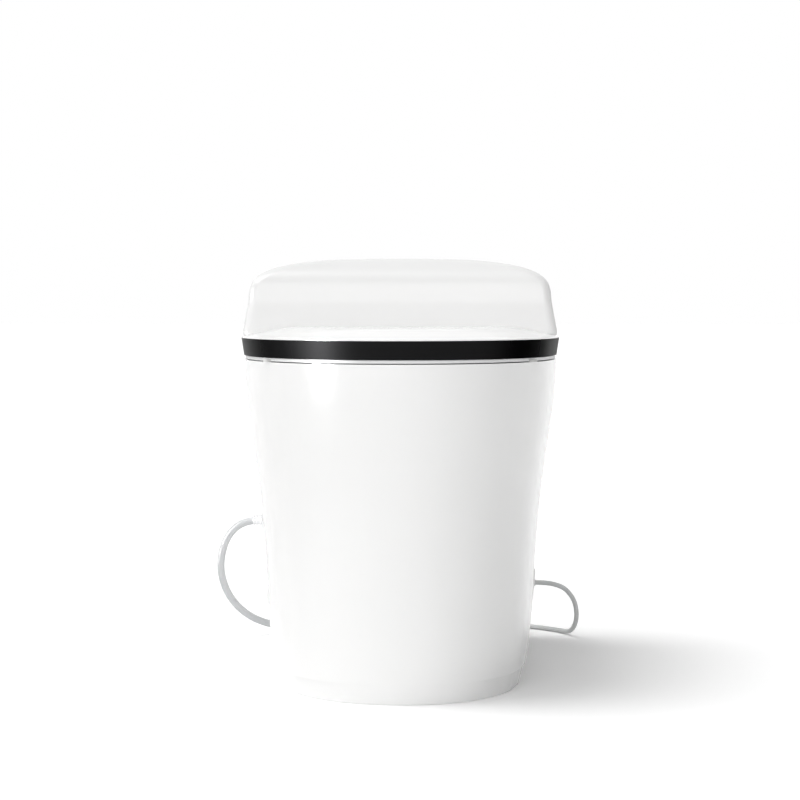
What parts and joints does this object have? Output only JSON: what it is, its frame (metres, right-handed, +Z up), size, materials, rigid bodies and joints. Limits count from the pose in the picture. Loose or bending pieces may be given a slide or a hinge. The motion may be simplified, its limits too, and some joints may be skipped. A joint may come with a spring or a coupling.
{
  "type": "smart toilet",
  "caption": "Elongated floor-standing toilet with a skirted ceramic bowl, a hinged lid and seat, a wash wand, a warm-air dryer and a rear hood over its pump, tank and valves.",
  "frame": {"origin": "centre of the floor outlet, at floor level", "axes": "+Z up; -Y towards the front of the bowl and +Y towards the wall behind it; +X to the right as seen from the front"},
  "size_m": [0.5083, 0.7953, 0.5326],
  "materials": {
    "ceramic": "high gloss white glaze",
    "white_plastic": "gloss white",
    "hood_plastic": "satin gloss white",
    "cap_plastic": "gloss white",
    "dark_band": "gloss black",
    "seat_grey": "matte light grey",
    "inner_plastic": "matte grey",
    "dark_plastic": "matte black",
    "housing_plastic": "matte pale grey",
    "tank_plastic": "matte blue grey",
    "soft_rubber": "matte grey",
    "seal_rubber": "matte black",
    "button_chrome": "polished",
    "wand_steel": "fine brushed",
    "bracket_steel": "zinc plated",
    "screw_steel": "plain steel",
    "brass_plate": "machined",
    "nut_chrome": "satin plated",
    "heater_foil": "printed foil",
    "board_green": "lacquered",
    "light_lens": "frosted",
    "cord_plastic": "matte pale grey",
    "hose_sleeve": "woven sleeve",
    "blade_brass": "plated"
  },
  "bodies": {
    "body": {"ceramic_bowl": "ceramic", "outlet_seal": "seal_rubber", "floor_brackets": "bracket_steel", "floor_screws": "screw_steel", "side_screws": "screw_steel", "side_caps": "cap_plastic", "hood_shell": "hood_plastic", "hood_band": "dark_band", "button_bezel": "button_chrome", "button_switch": "dark_plastic", "chassis_base": "inner_plastic", "chassis_cover": "white_plastic", "night_light": "light_lens", "hinge_brackets": "inner_plastic", "hinge_dampers": "dark_plastic", "hinge_pins": "screw_steel", "mounting_bolts": "screw_steel", "mounting_nuts": "screw_steel", "nozzle_housing": "housing_plastic", "wand_motor": "dark_plastic", "heater_tank": "tank_plastic", "wash_tube": "soft_rubber", "inlet_fitting": "brass_plate", "inlet_tube": "brass_plate", "inlet_filter": "housing_plastic", "water_valve": "dark_plastic", "fill_tube": "soft_rubber", "reservoir_tank": "tank_plastic", "pump_housing": "inner_plastic", "pump_motor": "dark_plastic", "jet_tube": "seal_rubber", "blower_housing": "inner_plastic", "dryer_duct": "housing_plastic", "deodoriser_housing": "inner_plastic", "control_board": "board_green", "power_supply": "dark_plastic", "cord_gland": "cord_plastic", "mains_lead": "cord_plastic", "power_cord": "cord_plastic", "power_cord_tail": "cord_plastic", "power_cord_coil": "cord_plastic", "power_plug": "cord_plastic", "plug_blades": "blade_brass", "supply_hose": "hose_sleeve", "hose_nuts": "nut_chrome"},
    "lid": {"lid_shell": "white_plastic", "lid_band": "dark_band", "lid_liner": "white_plastic", "lid_bumpers": "soft_rubber"},
    "seat": {"seat_ring": "white_plastic", "seat_base": "seat_grey", "seat_heater": "heater_foil", "seat_bumpers": "soft_rubber"},
    "wand": {"wand_tube": "wand_steel", "wand_tip": "housing_plastic"},
    "dryer_fan": {"blower_wheel": "dark_plastic"},
    "deodoriser_fan": {"deodoriser_wheel": "dark_plastic"},
    "pump_rotor": {"pump_impeller": "housing_plastic"},
    "button": {"flush_button": "button_chrome"},
    "flap": {"dryer_flap": "housing_plastic"}
  },
  "joints": [
    {"name": "lid_hinge", "type": "hinge", "parent": "body", "child": "lid", "pos_m": [0, 0.062, 0.432], "axis": [-1, 0, 0], "range_deg": [0, 98]},
    {"name": "seat_hinge", "type": "hinge", "parent": "body", "child": "seat", "pos_m": [0, 0.062, 0.432], "axis": [-1, 0, 0], "range_deg": [0, 94.1]},
    {"name": "wand_slide", "type": "slide", "parent": "body", "child": "wand", "axis": [0, -0.788, -0.6157], "range_m": [0, 0.11]},
    {"name": "dryer_fan_spin", "type": "hinge", "parent": "body", "child": "dryer_fan", "pos_m": [0.076, 0.15, 0.42], "axis": [0, 0, 1], "continuous": true},
    {"name": "deodoriser_fan_spin", "type": "hinge", "parent": "body", "child": "deodoriser_fan", "pos_m": [0.15, 0.142, 0.42], "axis": [0, 0, 1], "continuous": true},
    {"name": "pump_spin", "type": "hinge", "parent": "body", "child": "pump_rotor", "pos_m": [-0.03, 0.19, 0.17], "axis": [0, 0, 1], "continuous": true},
    {"name": "flush_button_press", "type": "slide", "parent": "body", "child": "button", "axis": [-1, 0, 0], "range_m": [0, 0.0025], "stiffness_N_per_m": 400, "springref_m": -0.001},
    {"name": "dryer_flap_hinge", "type": "hinge", "parent": "body", "child": "flap", "pos_m": [0.059, 0.0172, 0.3896], "axis": [-1, 0, 0], "range_deg": [0, 60]}
  ],
  "couplings": [
    {"joint": "seat_hinge", "follows": "lid_hinge", "ratio": 0.96}
  ]
}
